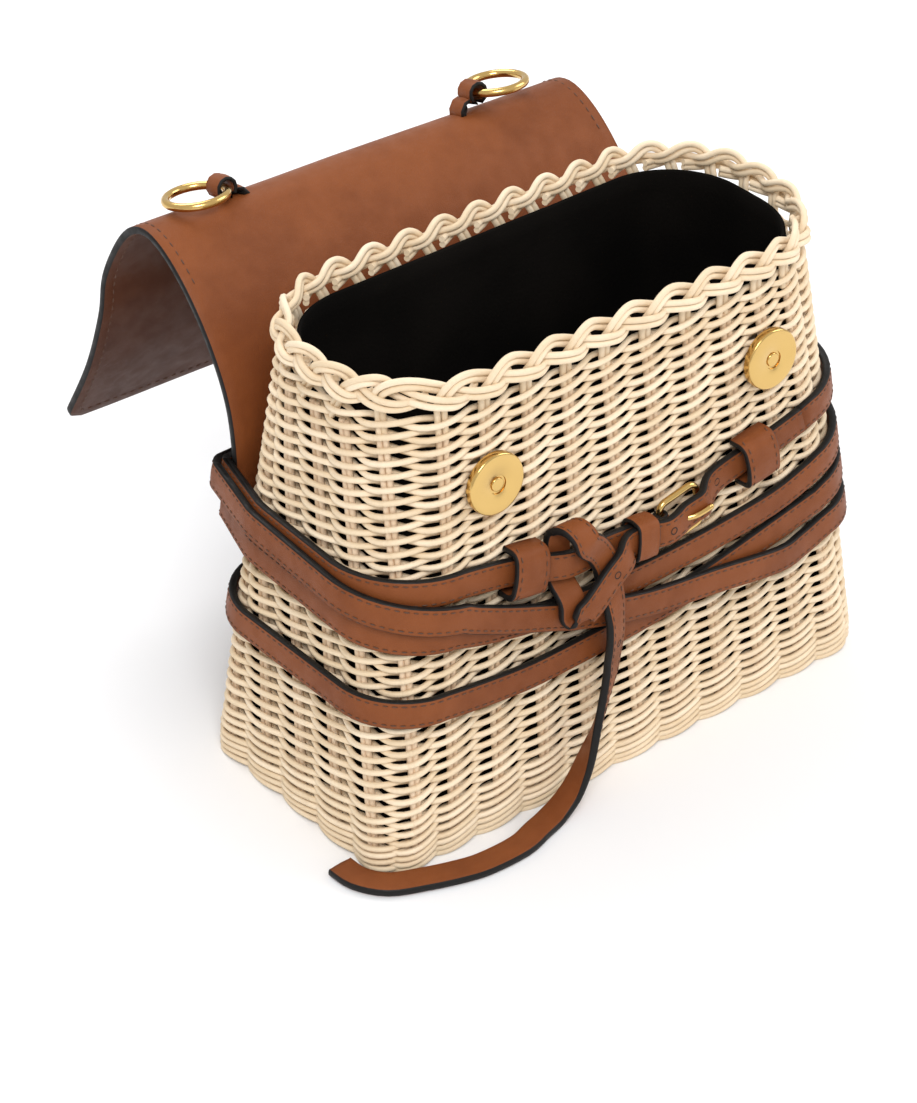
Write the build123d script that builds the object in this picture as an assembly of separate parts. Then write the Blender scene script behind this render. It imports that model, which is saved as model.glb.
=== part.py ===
"""Woven reed basket bag with a leather flap and a long leather belt wound round it.

Millimetres. +X runs along the front, +Y runs to the back, +Z is up.
The origin is the middle of the base, on the floor.
"""
from build123d import *
import os
from math import atan2, cos, degrees, pi, radians, sin, sqrt

os.makedirs("parts", exist_ok=True)

# Basket: a tapered box with rounded corners, narrower at the top
base_length = 220.0
base_depth = 105.0
base_corner = 14.0
rim_length = 192.0
rim_depth = 84.0
rim_corner = 36.0
rim_height = 168.0
wall_thickness = 6.0
wall_top = 164.5
row_pitch = 4.4
row_relief = 1.1
corner_flats = 7
foot_height = 5.0
foot_inset = 3.2
fit_gap = 0.3

# Gaps beside the stakes, open through the front wall above the belt
stake_pitch_base = 19.2
stake_pitch_rim = 16.6
stake_columns = 10
gap_rows = 12
gap_row_first = 26
gap_width = 8.0
gap_height = 1.3

# Base plate and suede lining
base_plate_thickness = 4.0
base_plate_bottom = 2.0
lining_thickness = 1.4
lining_top = 167.0

# Braided border
braid_bottom = wall_top
braid_core_height = 4.6
braid_core_proud = 0.8
braid_strand_radius = 2.5
braid_lobes = 30
braid_crown = 172.4

# Magnetic snaps on the front wall
snap_offset = 59.0
snap_height = 135.0
snap_radius = 10.7
snap_thickness = 3.0
snap_bevel = 0.5
snap_socket_radius = 3.4
snap_socket_depth = 0.9
snap_post_radius = 1.9
snap_stud_radius = 1.6
stud_clearance = 0.2
washer_radius = 8.0
washer_thickness = 0.9

# Leather flap, thrown back over itself
flap_centre = -3.0
flap_half_width = 91.0
flap_thickness = 2.8
flap_corner = 6.0
flap_root_bottom = 72.0
flap_hinge_y = 50.8
flap_hinge_z = 133.0
flap_profile = [(62.0, 153.0), (78.0, 168.5), (93.0, 174.0), (106.0, 166.5),
                (119.0, 146.0), (123.5, 128.0), (134.0, 102.0), (151.0, 73.0)]
magnet_radius = 6.0
magnet_thickness = 1.2
magnet_clearance = 0.1
magnet_from_edge = 19.0

# Rings and their leather tabs on the ridge of the flap
tab_left_x = -52.5
tab_right_x = 41.0
tab_width = 7.0
tab_thickness = 1.6
tab_loop_radius = 2.7
tab_length = 7.0
ring_radius = 10.4
ring_wire_radius = 1.5
ring_tilt = 26.0

# Belt: one strap, wound round the basket and buckled in front
strap_width = 10.0
strap_thickness = 2.8
wall_gap = 0.4
layer_gap = 0.4
corner_steps = 8
side_steps = 5

# Belt loops on the wall, keeper and buckle
loop_width = 14.0
loop_thickness = 2.2
loop_inner_height = 13.6
loop_proud = 8.6
loop_inside = 6.4
loop_rounding = 1.6
loop_left_x, loop_left_z, loop_left_tilt = -50.5, 99.9, -9.5
loop_right_x, loop_right_z, loop_right_tilt = 50.0, 102.1, 9.0
keeper_x, keeper_z, keeper_tilt = -2.0, 93.1, -4.6
keeper_width = 9.0
keeper_thickness = 1.5
keeper_inner_height = 11.4
keeper_inner_out = 2.0
keeper_inner_depth = 7.2
buckle_wire_radius = 1.2
buckle_height = 16.0
buckle_corner = 3.0
heel_x, heel_z, heel_out = 8.5, 92.2, 3.8
bar_x, bar_z, bar_out = 24.3, 95.4, 3.9
strap_eye_radius = 2.8
prong_radius = 1.0
prong_eye_radius = 2.5
prong_eye_width = 2.8
prong_height = 5.9
hole_radius = 1.2

strap_gap = wall_gap + strap_thickness / 2
layer_step = strap_thickness + layer_gap
outer_gap = strap_gap + layer_step


def footprint(z, outward=0.0):
    """Length, depth and corner radius of the basket at a height."""
    share = z / rim_height
    length = base_length + (rim_length - base_length) * share
    depth = base_depth + (rim_depth - base_depth) * share
    corner = base_corner + (rim_corner - base_corner) * share
    return length + 2 * outward, depth + 2 * outward, corner + outward


def ring_sketch(z, outward=0.0):
    length, depth, corner = footprint(z, outward)
    return Plane.XY.offset(z) * RectangleRounded(length, depth, corner)


def stack(levels):
    """Solid through the basket's own outline at each (height, outward) level."""
    return loft([ring_sketch(z, outward) for z, outward in levels], ruled=True)


def faceted_stack(levels):
    """The same solid with each rounded corner in short flats, one at each stake or so."""
    rings = []
    for z, outward in levels:
        length, depth, corner = footprint(z, outward)
        points = []
        for turn, (side_x, side_y) in enumerate(((1, 1), (-1, 1), (-1, -1), (1, -1))):
            for step in range(corner_flats + 1):
                angle = radians(90 * turn + 90 * step / corner_flats)
                points.append((side_x * (length / 2 - corner) + corner * cos(angle),
                               side_y * (depth / 2 - corner) + corner * sin(angle)))
        rings.append(Plane.XY.offset(z) * make_face(Polyline(*points, close=True)))
    return loft(rings, ruled=True)


side_lean = (base_depth - rim_depth) / 2 / rim_height
lean_angle = degrees(atan2(base_depth - rim_depth, 2 * rim_height))


def front_point(x, z, outward):
    """Point at a distance outward from the front wall."""
    return Vector(x, -(base_depth / 2 - side_lean * z) - outward, z)


def front_plane(x, z, outward=0.0):
    """Plane along the front wall, a distance out from it, with its normal pointing outwards."""
    normal = Vector(0, -cos(radians(lean_angle)), sin(radians(lean_angle)))
    return Plane(origin=front_point(x, z, 0) + normal * outward, x_dir=(1, 0, 0), z_dir=normal)


def woven_wall():
    """Wall of twined rows: each row of strands stands proud between two grooves."""
    levels = [(0.0, -foot_inset), (foot_height / 3, -foot_inset / 2), (2 * foot_height / 3, -foot_inset / 6),
              (foot_height, 0.0)]
    rows = int((wall_top - foot_height) / row_pitch)
    pitch = (wall_top - foot_height) / rows
    for row in range(rows):
        bottom = foot_height + row * pitch
        levels.append((bottom + pitch / 4, -row_relief))
        levels.append((bottom + 3 * pitch / 4, 0.0))
    levels.append((wall_top, -row_relief))
    wall = faceted_stack(levels) - faceted_stack([(-1, -wall_thickness), (wall_top + 1, -wall_thickness)])
    slots = []
    for step in range(gap_rows):
        z = foot_height + (gap_row_first + step) * pitch + pitch / 4
        share = z / rim_height
        stake_pitch = stake_pitch_base + (stake_pitch_rim - stake_pitch_base) * share
        for column in range(stake_columns):
            x = (column - (stake_columns - 1) / 2) * stake_pitch
            if min_snap_distance(x, z) > snap_radius + gap_width / 2:
                slot = Box(gap_width, 3 * wall_thickness, gap_height)
                slots.append(Pos(x, front_point(x, z, 0).Y, z) * slot)
    wall = wall - slots
    for x in (-snap_offset, snap_offset):
        hole = Cylinder(snap_stud_radius + stud_clearance, 3 * wall_thickness)
        wall -= front_plane(x, snap_height) * hole
        pocket = Cylinder(washer_radius + stud_clearance, 2 * washer_thickness)
        wall -= front_plane(x, snap_height, -wall_thickness) * pocket
    return wall


def min_snap_distance(x, z):
    """Distance from a place on the front wall to the nearer snap."""
    return min(sqrt((x - side) ** 2 + (z - snap_height) ** 2) for side in (-snap_offset, snap_offset))


def base_plate():
    inset = -(wall_thickness + fit_gap)
    return stack([(base_plate_bottom, inset), (base_plate_bottom + base_plate_thickness, inset)])


def lining():
    outer = -(wall_thickness + fit_gap)
    floor = base_plate_bottom + base_plate_thickness
    bag = faceted_stack([(floor, outer), (lining_top, outer)])
    inside = outer - lining_thickness
    return bag - faceted_stack([(floor + lining_thickness, inside), (lining_top + 1, inside)])


def rim_point(distance, outward, z):
    """Point above the wall's outline, a distance along it from the front's left end."""
    length, depth, corner = footprint(rim_height, 0)
    sides = (length - 2 * corner, depth - 2 * corner)
    arc = pi / 2 * corner
    total = 2 * (sides[0] + sides[1]) + 4 * arc
    left = distance % total
    x, y, heading = -sides[0] / 2, -depth / 2, 0.0
    for turn in range(4):
        run = sides[turn % 2]
        along = Vector(cos(radians(heading)), sin(radians(heading)), 0)
        out = Vector(sin(radians(heading)), -cos(radians(heading)), 0)
        if left <= run:
            return Vector(x, y, z) + along * left + out * outward
        left -= run
        centre = Vector(x, y, 0) + along * run - out * corner
        if left <= arc:
            angle = radians(heading - 90 + degrees(left / corner))
            radius = corner + outward
            return Vector(centre.X + radius * cos(angle), centre.Y + radius * sin(angle), z)
        left -= arc
        end = centre + along * corner
        x, y = end.X, end.Y
        heading += 90
    return Vector(x, y, z)


def rim_braid():
    """Border: stake pairs laid over the rim, each one crossing the next."""
    low, high = braid_bottom, braid_bottom + braid_core_height
    middle = (low + high) / 2
    inner = -(wall_thickness + fit_gap + lining_thickness)
    core = stack([(low, -row_relief), (middle, braid_core_proud), (high, -braid_core_proud)])
    core -= stack([(low - 1, inner), (high + 1, inner)])
    length, depth, corner = footprint(rim_height)
    perimeter = 2 * (length + depth) - 8 * corner + 2 * pi * corner
    pitch = perimeter / braid_lobes
    top = braid_crown - braid_strand_radius
    lobes = []
    for lobe in range(braid_lobes):
        start = lobe * pitch
        path = ThreePointArc(rim_point(start, -braid_strand_radius / 2, middle),
                             rim_point(start + 0.6 * pitch, -wall_thickness / 2, top),
                             rim_point(start + 1.2 * pitch, inner + braid_strand_radius / 2, middle + 1))
        section = Plane(origin=path @ 0, z_dir=path % 0) * RegularPolygon(braid_strand_radius, 6)
        lobes.append(sweep(section, path))
    return core + lobes - stack([(low - 2, -wall_thickness), (lining_top + fit_gap, -wall_thickness)])


def snap_disc(x):
    """Gold disc with a bevelled edge, a turned socket and a stud through the wall."""
    disc = Cylinder(snap_radius, snap_thickness, align=(Align.CENTER, Align.CENTER, Align.MIN))
    disc = chamfer(disc.edges().filter_by(GeomType.CIRCLE).group_by(Axis.Z)[-1], snap_bevel)
    disc -= Pos(0, 0, snap_thickness) * Cylinder(snap_socket_radius, 2 * snap_socket_depth)
    post = Cylinder(snap_post_radius, snap_socket_depth, align=(Align.CENTER, Align.CENTER, Align.MIN))
    disc += Pos(0, 0, snap_thickness - snap_socket_depth) * post
    stud = Cylinder(snap_stud_radius, wall_thickness, align=(Align.CENTER, Align.CENTER, Align.MAX))
    disc += stud
    return front_plane(x, snap_height) * disc


def snap_washer(x):
    """Steel washer that the stud is closed over, behind the wall."""
    washer = Cylinder(washer_radius, washer_thickness, align=(Align.CENTER, Align.CENTER, Align.MIN))
    washer -= Cylinder(snap_stud_radius + stud_clearance / 2, 3 * washer_thickness)
    return front_plane(x, snap_height, -wall_thickness) * washer


def flap_section(points, start=None):
    """Band of even thickness along a smooth line in the YZ plane."""
    line = Spline(*[(0, y, z) for y, z in points], tangents=start)
    steps = 3 * (len(points) - 1)
    outer, inner = [], []
    for step in range(steps + 1):
        place = line @ (step / steps)
        run = line % (step / steps)
        side = Vector(0, -run.Z, run.Y).normalized() * (flap_thickness / 2)
        outer.append(place + side)
        inner.append(place - side)
    return line, outer, inner


def back_wall_y(z, outward=0.0):
    return base_depth / 2 - side_lean * z + outward


def flap():
    """Free part of the flap: rises, turns over its ridge and hangs behind."""
    points = [(flap_hinge_y, flap_hinge_z)] + flap_profile
    line, outer, inner = flap_section(points)
    root = Vector(0, flap_hinge_y, flap_hinge_z)
    run = line % 0
    edge_out = Spline(*outer)
    edge_in = Spline(*inner)
    tip = Line(outer[-1], inner[-1])
    end = ThreePointArc(outer[0], root - run * (flap_thickness / 2), inner[0])
    face = make_face(Wire([edge_out, tip, edge_in, end]))
    sheet = extrude(face, flap_half_width, dir=(1, 0, 0), both=True)
    tail = (line @ 1) - (line % 1) * 0
    corners = [e for e in sheet.edges().filter_by(GeomType.LINE)
               if (e.center() - tail).length < flap_half_width + 1 and abs(e.length - flap_thickness) < 0.01]
    corners = sorted(corners, key=lambda e: (Vector(0, e.center().Y, e.center().Z) - tail).length)[:2]
    sheet = fillet(corners, flap_corner)
    for side in (-1, 1):
        place = magnet_plane(line, side)
        sheet -= place * Cylinder(magnet_radius + magnet_clearance, magnet_thickness + 2 * magnet_clearance)
    sheet = Pos(flap_centre, 0, 0) * sheet
    return sheet - tab_slit(-1) - tab_slit(1)


def magnet_plane(line, side):
    share = 1 - magnet_from_edge / line.length
    run = line % share
    return Plane(origin=(line @ share) + Vector(side * snap_offset, 0, 0), x_dir=(1, 0, 0),
                 z_dir=Vector(0, -run.Z, run.Y))


def flap_magnet(side):
    """Magnet closed in between the two plies of the flap, near its free edge."""
    line, outer, inner = flap_section([(flap_hinge_y, flap_hinge_z)] + flap_profile)
    return Pos(flap_centre, 0, 0) * (magnet_plane(line, side) * Cylinder(magnet_radius, magnet_thickness))


def flap_root():
    """Lower part of the flap, flat on the back wall under the belt, up to its bend."""
    low = Vector(0, back_wall_y(flap_root_bottom, wall_gap + flap_thickness / 2), flap_root_bottom)
    bend_z = 112.0
    bend = Vector(0, back_wall_y(bend_z, wall_gap + flap_thickness / 2), bend_z)
    hinge = Vector(0, flap_hinge_y, flap_hinge_z)
    first = (bend - low).normalized()
    top = hinge - Vector(0, 0, 1) * (flap_thickness / 2 + fit_gap)
    curve = Spline(bend, top, tangents=[first, Vector(0, 0.3, 0.95)])
    out, back = [], []
    for step in range(6):
        place = curve @ (step / 5)
        run = curve % (step / 5)
        side = Vector(0, -run.Z, run.Y).normalized() * (flap_thickness / 2)
        out.append(place + side)
        back.append(place - side)
    low_side = Vector(0, -first.Z, first.Y) * (flap_thickness / 2)
    face = make_face(Wire([Line(low + low_side, out[0]), Spline(*out), Line(out[-1], back[-1]),
                           Spline(*back), Line(back[0], low - low_side), Line(low - low_side, low + low_side)]))
    return Pos(flap_centre, 0, 0) * extrude(face, flap_half_width, dir=(1, 0, 0), both=True)


# Ridge of the flap, where the ring tabs come out
ridge_y, ridge_z = flap_profile[2]
tab_lean = 12.0


def tab_plane(side):
    """Plane of a tab: X points outwards along the ridge, Z out of the leather."""
    tilt = radians(tab_lean)
    up = Vector(0, sin(tilt), cos(tilt))
    place_x = tab_left_x if side < 0 else tab_right_x
    origin = Vector(place_x, ridge_y + 3.0, ridge_z - 0.4) + up * (flap_thickness / 2)
    return Plane(origin=origin, x_dir=(side, 0, 0), z_dir=up)


def tab_slit(side):
    slit = Box(tab_thickness * 2 + 2 * fit_gap, tab_width + 2 * fit_gap, 4 * flap_thickness)
    return tab_plane(side) * slit


def ring_tab(side):
    """Leather tab: two plies up through the slit and folded round the ring."""
    outer = tab_loop_radius + tab_thickness
    centre_x = tab_length
    lift = outer + fit_gap
    eye = Pos(centre_x, 0, lift) * Rot(90, 0, 0) * Cylinder(outer, tab_width)
    neck = Pos(centre_x / 2, 0, lift - outer + tab_thickness) * Box(centre_x, tab_width, 2 * tab_thickness)
    stem = Box(2 * tab_thickness, tab_width, 2 * (lift - outer + 2 * tab_thickness))
    hole = Pos(centre_x, 0, lift) * Rot(90, 0, 0) * Cylinder(tab_loop_radius, 2 * tab_width)
    return tab_plane(side) * (eye + neck + stem - hole)


def ring_axis_plane(side):
    lift = tab_loop_radius + tab_thickness + fit_gap
    plane = tab_plane(side)
    origin = plane.from_local_coords(Vector(tab_length, 0, lift))
    return Plane(origin=origin, x_dir=plane.x_dir, z_dir=plane.z_dir)


def ring(side):
    """Gold ring lying outwards through the eye of its tab."""
    torus = Torus(ring_radius, ring_wire_radius)
    return ring_axis_plane(side) * Pos(ring_radius, 0, 0) * torus


def hull_point(corner, share, z, over_flap):
    """Taut strap's inner line at a corner: point and outward normal, a share of the way round."""
    length, depth, radius = footprint(z)
    sign_x = -1 if corner in (0, 1) else 1
    sign_y = -1 if corner in (0, 3) else 1
    angle = radians(-90 - 90 * (corner + share))
    out = Vector(cos(angle), sin(angle), 0)
    centre = Vector(sign_x * (length / 2 - radius), sign_y * (depth / 2 - radius), z)
    place = centre + out * radius
    if over_flap and sign_y > 0:
        edge_x = flap_centre + sign_x * flap_half_width
        edge = Vector(edge_x + sign_x * fit_gap / 2, back_wall_y(z, wall_gap + flap_thickness + fit_gap / 2), z)
        if edge.dot(out) > place.dot(out):
            place = edge
    swell = (rim_corner - base_corner) / rim_height
    taper = (base_length - rim_length) / 2 / rim_height
    lean = (taper + swell) * abs(out.X) + (side_lean + swell) * abs(out.Y) - swell
    return place, Vector(out.X, out.Y, lean).normalized()


def on_front(x, z, outward, facing=(0, 0, 1)):
    """Strap's middle and facing in front: along X, up the wall, and outward from it."""
    plane = front_plane(x, z, outward)
    up = plane.y_dir
    return plane.origin, plane.x_dir * facing[0] + up * facing[1] + plane.z_dir * facing[2]


def front_fold(x_first, x_last, z, outward, radius, first, last, steps):
    """Way points of a fold about a line along the front; angles from facing out, by way of down."""
    points = []
    for step in range(steps + 1):
        share = step / steps
        angle = radians(first + (last - first) * share)
        facing = (0, -sin(angle), cos(angle))
        points.append((x_first + (x_last - x_first) * share, z + radius * facing[1],
                       outward + radius * facing[2], facing))
    return points


def smooth(points, steps):
    """Catmull-Rom run through (place, facing) way points."""
    run = []
    for index in range(len(points) - 1):
        p1, p2 = points[index], points[index + 1]
        p0 = points[max(index - 1, 0)]
        p3 = points[min(index + 2, len(points) - 1)]
        for step in range(steps):
            t = step / steps
            place = (p1[0] * 2 + (p2[0] - p0[0]) * t
                     + (p0[0] * 2 - p1[0] * 5 + p2[0] * 4 - p3[0]) * t * t
                     + (p1[0] * 3 - p0[0] - p2[0] * 3 + p3[0]) * t ** 3) * 0.5
            run.append((place, p1[1] * (1 - t) + p2[1] * t))
    return run + [points[-1]]


def wound_turn(front, corners, over_flap):
    """Frames of one turn: across the front, then round the left, back and right of the wall."""
    run = smooth([on_front(*point) for point in front], 2)[:-1]
    for corner in range(4):
        (z_in, layer_in), (z_out, layer_out) = corners[corner]
        for step in range(corner_steps + 1):
            share = step / corner_steps
            z = z_in + (z_out - z_in) * share
            layer = layer_in + (layer_out - layer_in) * share
            place, out = hull_point(corner, share, z, over_flap)
            run.append((place + out * (strap_gap + layer * layer_step), out))
        if corner < 3:
            (z_next, layer_next), after = corners[corner + 1]
            for step in range(1, side_steps):
                share = step / side_steps
                z = z_out + (z_next - z_out) * share
                layer = layer_out + (layer_next - layer_out) * share
                first, out = hull_point(corner, 1.0, z, over_flap)
                last, out = hull_point(corner + 1, 0.0, z, over_flap)
                middle = first + (last - first) * share
                run.append((middle + out * (strap_gap + layer * layer_step), out))
    return run


# First turn starts at the buckle, rises over the knot and passes the left belt loop
turn_1_front = [(heel_x - 1.9, heel_z, heel_out), (-12, 94.0, heel_out), (-22, 94.9, 4.4), (-33, 96.3, 6.2),
                (-39.5, 97.5, 5.4), (-44, 98.5, 4.3), (-50.5, 99.9, 3.2), (-60, 101.5, 2.0), (-73.6, 103.8, strap_gap)]
turn_1_corners = [((103.8, 0), (104.5, 0)), ((106, 0), (106, 0)), ((96, 0), (94, 0)), ((90.5, 0), (85, 0))]
turn_2_front = [(77.8, 84.2, strap_gap), (60, 79.2, strap_gap), (30, 76.4, strap_gap), (0, 75.4, strap_gap),
                (-30, 76.4, strap_gap), (-60, 81.4, strap_gap), (-77.5, 86.3, strap_gap)]
turn_2_corners = [((86.3, 0), (90.3, 0)), ((92, 0), (91.5, 0)), ((81, 0), (79, 0)), ((77, 0), (72.5, 0))]
turn_3_front = [(80.5, 71.6, strap_gap), (60, 67.5, strap_gap), (30, 61.8, strap_gap), (0, 58.8, strap_gap),
                (-40, 57.4, strap_gap), (-60, 58.4, strap_gap), (-82.8, 61.2, strap_gap)]
turn_3_corners = [((61.3, 0), (62, 0)), ((61.5, 0), (61.5, 0)), ((60.5, 0), (60.5, 0)), ((60.8, 0), (60.2, 0))]
turn_4_front = [(83.1, 59.6, strap_gap), (73, 57.9, 3.2), (60, 57.5, outer_gap), (30, 61.9, outer_gap),
                (0, 66, outer_gap), (-27, 73.2, outer_gap), (-40, 78.2, outer_gap), (-60, 86.0, outer_gap),
                (-76, 93.2, outer_gap)]
turn_4_corners = [((93.5, 1), (101.5, 1)), ((104, 1), (104.5, 1)), ((107.5, 1), (108.5, 0)), ((110, 0), (107.5, 0))]

# Free end: through the right loop, over the buckle, through the keeper, round the first turn and down
end_front = [(72.9, 106.6, strap_gap), (60, 103.6, strap_gap), (50, 102.1, strap_gap), (40, 100.4, strap_gap),
             (33, 98.6, 2.0), (28.5, 97.3, 4.0), (bar_x, 96.2, 7.2), (20.5, 95.2, 7.1), (16.5, 94.2, 6.9),
             (12.5, 93.4, 7.9), (heel_x, 92.8, 8.4), (5.5, 92.6, 7.9), (2, 92.8, 7.1), (-8, 93.6, 7.0),
             (-13.5, 91.3, 10.4), (-20, 87, 10.9), (-28, 81.3, 11.7)]
end_fold = front_fold(-32.0, -35.0, 79.0, 10.15, 1.55, 0, 180, 4)
back_way = (0, 0, -1)
end_behind = [(-35, 83.3, 8.55, back_way), (-35, 85.9, 6.9, back_way), (-35, 88.4, 4.0, back_way),
              (-35, 91.2, 2.1, back_way), (-35, 95, strap_gap, back_way)]
end_top = front_fold(-35.0, -30.5, 105.0, 7.0, 5.2, 180, 360, 6)
tail_turn = (0.42, 0, 0.91)
end_tail = [(-26.5, 101.5, 10.8), (-22.5, 96.5, 8.7), (-19.5, 91, 7.5), (-18.3, 85, 7.5),
            (-18, 77, 9.6, (0.25, 0, 0.97)), (-18, 70, 10.4, tail_turn), (-18, 63, 10.2, tail_turn),
            (-17.7, 55, 8.4, tail_turn), (-17.6, 47, 6.8, (0.5, 0, 0.87)), (-20.3, 37, 6.3, (0.65, 0, 0.76))]
floor_z = strap_thickness / 2 + 0.1
down = Vector(0, 0, -1)
tail_floor = [(Vector(-25.8, -58.4, 26), Vector(0.8, -0.6, 0)), (Vector(-30.3, -58, 14.5), Vector(0.95, -0.3, -0.1)),
              (Vector(-35.8, -58.2, 6.4), Vector(0.75, -0.1, -0.65)), (Vector(-44, -59.2, 1.8), Vector(0.1, 0, -1)),
              (Vector(-53, -61.6, floor_z), down), (Vector(-62.8, -64.2, floor_z), down),
              (Vector(-77.5, -63.9, floor_z), down), (Vector(-87.5, -61.4, floor_z), down),
              (Vector(-98, -57.4, floor_z), down), (Vector(-108.6, -52.2, floor_z), down),
              (Vector(-114.4, -43.8, floor_z), down), (Vector(-115.4, -35, floor_z), down)]
hole_distances = [14.0, 40.5, 67.0, 121.0]


def belt_frames():
    """Frames of the whole belt, and the places where one turn ends and the next starts."""
    run, cuts = [], [0]
    turns = [(turn_1_front, turn_1_corners, True), (turn_2_front, turn_2_corners, True),
             (turn_3_front, turn_3_corners, False), (turn_4_front, turn_4_corners, True)]
    for front, corners, over_flap in turns:
        if run:
            run.pop()
            cuts.append(len(run))
        run += wound_turn(front, corners, over_flap)
    run.pop()
    cuts.append(len(run))
    loose = [on_front(*point) for point in end_front + end_fold + end_behind + end_top + end_tail]
    run += smooth(loose + tail_floor, 2)
    cuts.append(len(run) - 1)
    return run, cuts


def strap_planes(run):
    """Plane across the strap at every frame: X out of its face, Z along it."""
    planes = []
    for index, (place, facing) in enumerate(run):
        before = run[max(index - 1, 0)][0]
        after = run[min(index + 1, len(run) - 1)][0]
        along = (after - before).normalized()
        face = facing - along * facing.dot(along)
        planes.append(Plane(origin=place, x_dir=face, z_dir=along))
    return planes


def strap(planes):
    """Strap through its cross planes."""
    return loft([plane * Rectangle(strap_thickness, strap_width) for plane in planes], ruled=True)


def buckle_plane():
    """Plane of the buckle's frame: origin on the heel bar, X towards its outer bar."""
    heel = on_front(heel_x, heel_z, heel_out)[0]
    bar = on_front(bar_x, bar_z, bar_out)[0]
    across = bar - heel
    out = front_plane(heel_x, heel_z).z_dir
    return Plane(origin=heel, x_dir=across, z_dir=out - across * (out.dot(across) / across.length ** 2))


def buckle_span():
    heel = on_front(heel_x, heel_z, heel_out)[0]
    return (on_front(bar_x, bar_z, bar_out)[0] - heel).length


def buckle_frame():
    """Gold wire frame: heel bar, two rails and outer bar in one piece."""
    span = buckle_span()
    outline = Pos(span / 2, 0, 0) * RectangleRounded(span, buckle_height, buckle_corner)
    path = outline.face().outer_wire()
    section = Plane(origin=path @ 0, z_dir=path % 0) * Circle(buckle_wire_radius)
    return buckle_plane() * sweep(section, path, transition=Transition.RIGHT)


def prong_path():
    reach = buckle_span() + 0.5
    return Spline((1.6, 0, 0.0), (4.4, 0, 0.7), (8.0, 0, 4.0), (11.5, 0, 5.6), (reach, 0, prong_height))


def prong_body(radius):
    path = prong_path()
    section = Plane(origin=path @ 0, z_dir=path % 0) * Circle(radius)
    return sweep(section, path)


def buckle_prong():
    """Prong, looped round the heel bar and passed through a hole of the free end."""
    eye = Rot(90, 0, 0) * Cylinder(prong_eye_radius, prong_eye_width)
    bore = Rot(90, 0, 0) * Cylinder(buckle_wire_radius + stud_clearance, 2 * prong_eye_width)
    tip = Pos(*(prong_path() @ 1)) * Sphere(prong_radius)
    return buckle_plane() * (eye + prong_body(prong_radius) + tip - bore)


def first_turn(planes):
    """First turn, with its end folded round the heel bar and slotted for the prong."""
    place = buckle_plane()
    eye = Rot(90, 0, 0) * Cylinder(strap_eye_radius, strap_width)
    bore = Rot(90, 0, 0) * Cylinder(buckle_wire_radius + stud_clearance, 2 * strap_width)
    slot_length = 3 * strap_eye_radius
    slot = Pos(slot_length / 2 - strap_eye_radius, 0, 0) * Box(slot_length, prong_eye_width + 0.8, slot_length)
    return strap(planes) + place * eye - place * bore - place * slot


def free_end(planes):
    """Free end, with punched holes and room for the prong."""
    band = strap(planes) - buckle_plane() * prong_body(prong_radius + fit_gap)
    for distance in hole_distances:
        travelled, index = 0.0, 0
        while travelled < distance:
            travelled += (planes[index + 1].origin - planes[index].origin).length
            index += 1
        plane = planes[index]
        hole = Plane(origin=plane.origin, x_dir=plane.z_dir, z_dir=plane.x_dir)
        band -= hole * Cylinder(hole_radius, 3 * strap_thickness)
    return band


def belt_loop(x, z, tilt):
    """Leather band stitched to the wall at both ends, standing proud for the belt to pass."""
    place = front_plane(x, z) * Rot(0, 0, tilt)
    outer = loop_inner_height + 2 * loop_thickness
    foot = wall_gap / 4
    band = Pos(0, 0, foot) * extrude(RectangleRounded(loop_width, outer, 0.6), loop_proud - foot)
    rounded = band.edges().filter_by(Axis.X).group_by(Axis.Z)[-1]
    band = fillet(rounded, loop_rounding)
    return place * (band - Box(2 * loop_width, loop_inner_height, 2 * loop_inside))


def keeper():
    """Loose leather keeper, closed round the first turn and the free end."""
    place = front_plane(keeper_x, keeper_z, keeper_inner_out) * Rot(0, 0, keeper_tilt)
    inner = RectangleRounded(keeper_inner_height, keeper_inner_depth, 0.8)
    outer = RectangleRounded(keeper_inner_height + 2 * keeper_thickness,
                             keeper_inner_depth + 2 * keeper_thickness, 0.8 + keeper_thickness)
    ring_face = Plane(origin=(0, 0, keeper_inner_depth / 2), x_dir=(0, 1, 0), z_dir=(1, 0, 0))
    return place * extrude(ring_face * (outer - inner), keeper_width / 2, both=True)


def main_parts():
    parts = {
        "basket_wall": woven_wall(),
        "basket_base": base_plate(),
        "rim_braid": rim_braid(),
        "lining": lining(),
        "flap_root": flap_root(),
        "flap": flap(),
        "belt_loop_left": belt_loop(loop_left_x, loop_left_z, loop_left_tilt),
        "belt_loop_right": belt_loop(loop_right_x, loop_right_z, loop_right_tilt),
        "keeper": keeper(),
        "buckle_frame": buckle_frame(),
        "buckle_prong": buckle_prong(),
    }
    run, cuts = belt_frames()
    planes = strap_planes(run)
    parts["belt_turn_1"] = first_turn(planes[cuts[0]:cuts[1] + 1])
    for turn in (1, 2, 3):
        parts["belt_turn_" + str(turn + 1)] = strap(planes[cuts[turn]:cuts[turn + 1] + 1])
    parts["belt_end"] = free_end(planes[cuts[4]:])
    for name, side in (("left", -1), ("right", 1)):
        parts["snap_disc_" + name] = snap_disc(side * snap_offset)
        parts["snap_washer_" + name] = snap_washer(side * snap_offset)
        parts["flap_magnet_" + name] = flap_magnet(side)
        parts["ring_tab_" + name] = ring_tab(side)
        parts["ring_" + name] = ring(side)
    return parts


for node, shape in main_parts().items():
    export_step(shape, "parts/" + node + ".step")
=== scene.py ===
"""Woven reed basket bag with a leather flap and a long leather belt, as photographed.

Lengths are written in millimetres and divided by 1000 when a mesh is made.
"""
import bpy
from math import atan2, cos, hypot, pi, radians, sin, tau
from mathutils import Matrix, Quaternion, Vector, noise


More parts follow.
